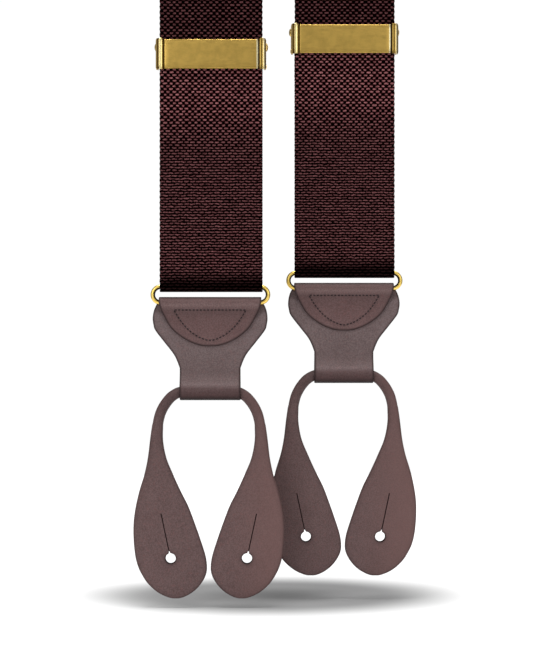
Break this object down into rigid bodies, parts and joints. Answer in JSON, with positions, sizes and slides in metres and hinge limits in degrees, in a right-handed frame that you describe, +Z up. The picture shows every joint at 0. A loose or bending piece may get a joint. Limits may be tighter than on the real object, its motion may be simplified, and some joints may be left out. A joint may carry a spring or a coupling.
{
  "type": "suspenders",
  "caption": "Button-on suspenders: woven straps with sliding brass adjusters, a leather yoke, an elastic rear strap, and ring-hung leather tabs with button loops.",
  "frame": {"origin": "underside of the webbing on top of the rail that the suspenders hang over, midway between the two straps", "axes": "+Z up along the hanging straps, -Y towards the front, +X to the viewer's right as seen from the front"},
  "size_m": [0.106, 0.0575, 0.6809],
  "materials": {
    "webbing": "woven, burgundy floats on a near-black ground",
    "elastic": "woven elastic, burgundy on a near-black ground",
    "leather": "satin smooth-grain leather, mauve brown",
    "brass": "satin brass, brighter on the rolled edges"
  },
  "bodies": {
    "straps": {"left_strap": "webbing", "right_strap": "webbing", "yoke_front_patch": "leather", "yoke_back_patch": "leather"},
    "left_lower_strap": {"left_strap_fold": "webbing", "left_strap_run": "webbing"},
    "left_adjuster": {"left_adjuster_frame": "brass", "left_adjuster_end_bar": "brass", "left_adjuster_hinge_pin": "brass", "left_strap_return": "webbing"},
    "left_lever": {"left_adjuster_lever": "brass"},
    "left_ring": {"left_ring": "brass"},
    "left_tab": {"left_tab": "leather"},
    "left_loop": {"left_button_loop": "leather"},
    "right_lower_strap": {"right_strap_fold": "webbing", "right_strap_run": "webbing"},
    "right_adjuster": {"right_adjuster_frame": "brass", "right_adjuster_end_bar": "brass", "right_adjuster_hinge_pin": "brass", "right_strap_return": "webbing"},
    "right_lever": {"right_adjuster_lever": "brass"},
    "right_ring": {"right_ring": "brass"},
    "right_tab": {"right_tab": "leather"},
    "right_loop": {"right_button_loop": "leather"},
    "rear_lower_strap": {"rear_elastic_fold": "elastic", "rear_elastic": "elastic"},
    "rear_ring": {"rear_ring": "brass"},
    "rear_tab": {"rear_tab": "leather"},
    "rear_loop": {"rear_button_loop": "leather"}
  },
  "joints": [
    {"name": "left_strap_length", "type": "slide", "parent": "straps", "child": "left_lower_strap", "axis": [0, 0, 1], "range_m": [-0.03, 0.05], "deforming": ["left_strap_run"]},
    {"name": "left_adjuster_slide", "type": "slide", "parent": "left_lower_strap", "child": "left_adjuster", "axis": [0, 0, 1], "range_m": [-0.03, 0.05], "deforming": ["left_strap_return"]},
    {"name": "left_lever_lift", "type": "hinge", "parent": "left_adjuster", "child": "left_lever", "pos_m": [-0.025, -0.02765, -0.4762], "axis": [1, 0, 0], "range_deg": [0, 60]},
    {"name": "left_ring_swing", "type": "hinge", "parent": "left_lower_strap", "child": "left_ring", "pos_m": [-0.025, -0.02895, -0.56485], "axis": [1, 0, 0], "range_deg": [-60, 5]},
    {"name": "left_tab_swing", "type": "hinge", "parent": "left_ring", "child": "left_tab", "pos_m": [-0.0254, -0.02895, -0.57065], "axis": [1, 0, 0], "range_deg": [-50, 5]},
    {"name": "left_loop_swing", "type": "hinge", "parent": "left_tab", "child": "left_loop", "pos_m": [-0.0259, -0.0283, -0.6034], "axis": [1, 0, 0], "range_deg": [-50, 5]},
    {"name": "right_strap_length", "type": "slide", "parent": "straps", "child": "right_lower_strap", "axis": [0, 0, 1], "range_m": [-0.03, 0.05], "deforming": ["right_strap_run"]},
    {"name": "right_adjuster_slide", "type": "slide", "parent": "right_lower_strap", "child": "right_adjuster", "axis": [0, 0, 1], "range_m": [-0.03, 0.05], "deforming": ["right_strap_return"]},
    {"name": "right_lever_lift", "type": "hinge", "parent": "right_adjuster", "child": "right_lever", "pos_m": [0.025, -0.01365, -0.4674], "axis": [1, 0, 0], "range_deg": [0, 60]},
    {"name": "right_ring_swing", "type": "hinge", "parent": "right_lower_strap", "child": "right_ring", "pos_m": [0.025, -0.01495, -0.55905], "axis": [1, 0, 0], "range_deg": [-5, 60]},
    {"name": "right_tab_swing", "type": "hinge", "parent": "right_ring", "child": "right_tab", "pos_m": [0.0248, -0.01495, -0.56485], "axis": [1, 0, 0], "range_deg": [-5, 50]},
    {"name": "right_loop_swing", "type": "hinge", "parent": "right_tab", "child": "right_loop", "pos_m": [0.0245, -0.0143, -0.5976], "axis": [1, 0, 0], "range_deg": [-5, 50]},
    {"name": "rear_elastic_stretch", "type": "slide", "parent": "straps", "child": "rear_lower_strap", "axis": [0, 0, 1], "range_m": [-0.05, 0], "stiffness_N_per_m": 120, "springref_m": 0.003, "deforming": ["rear_elastic"]},
    {"name": "rear_ring_swing", "type": "hinge", "parent": "rear_lower_strap", "child": "rear_ring", "pos_m": [0, 0.02055, -0.26485], "axis": [1, 0, 0], "range_deg": [-5, 60]},
    {"name": "rear_tab_swing", "type": "hinge", "parent": "rear_ring", "child": "rear_tab", "pos_m": [0, 0.02055, -0.27065], "axis": [1, 0, 0], "range_deg": [-5, 50]},
    {"name": "rear_loop_swing", "type": "hinge", "parent": "rear_tab", "child": "rear_loop", "pos_m": [0, 0.0212, -0.3034], "axis": [1, 0, 0], "range_deg": [-5, 50]}
  ],
  "couplings": [
    {"joint": "left_adjuster_slide", "follows": "left_strap_length", "ratio": 1},
    {"joint": "right_adjuster_slide", "follows": "right_strap_length", "ratio": 1}
  ]
}
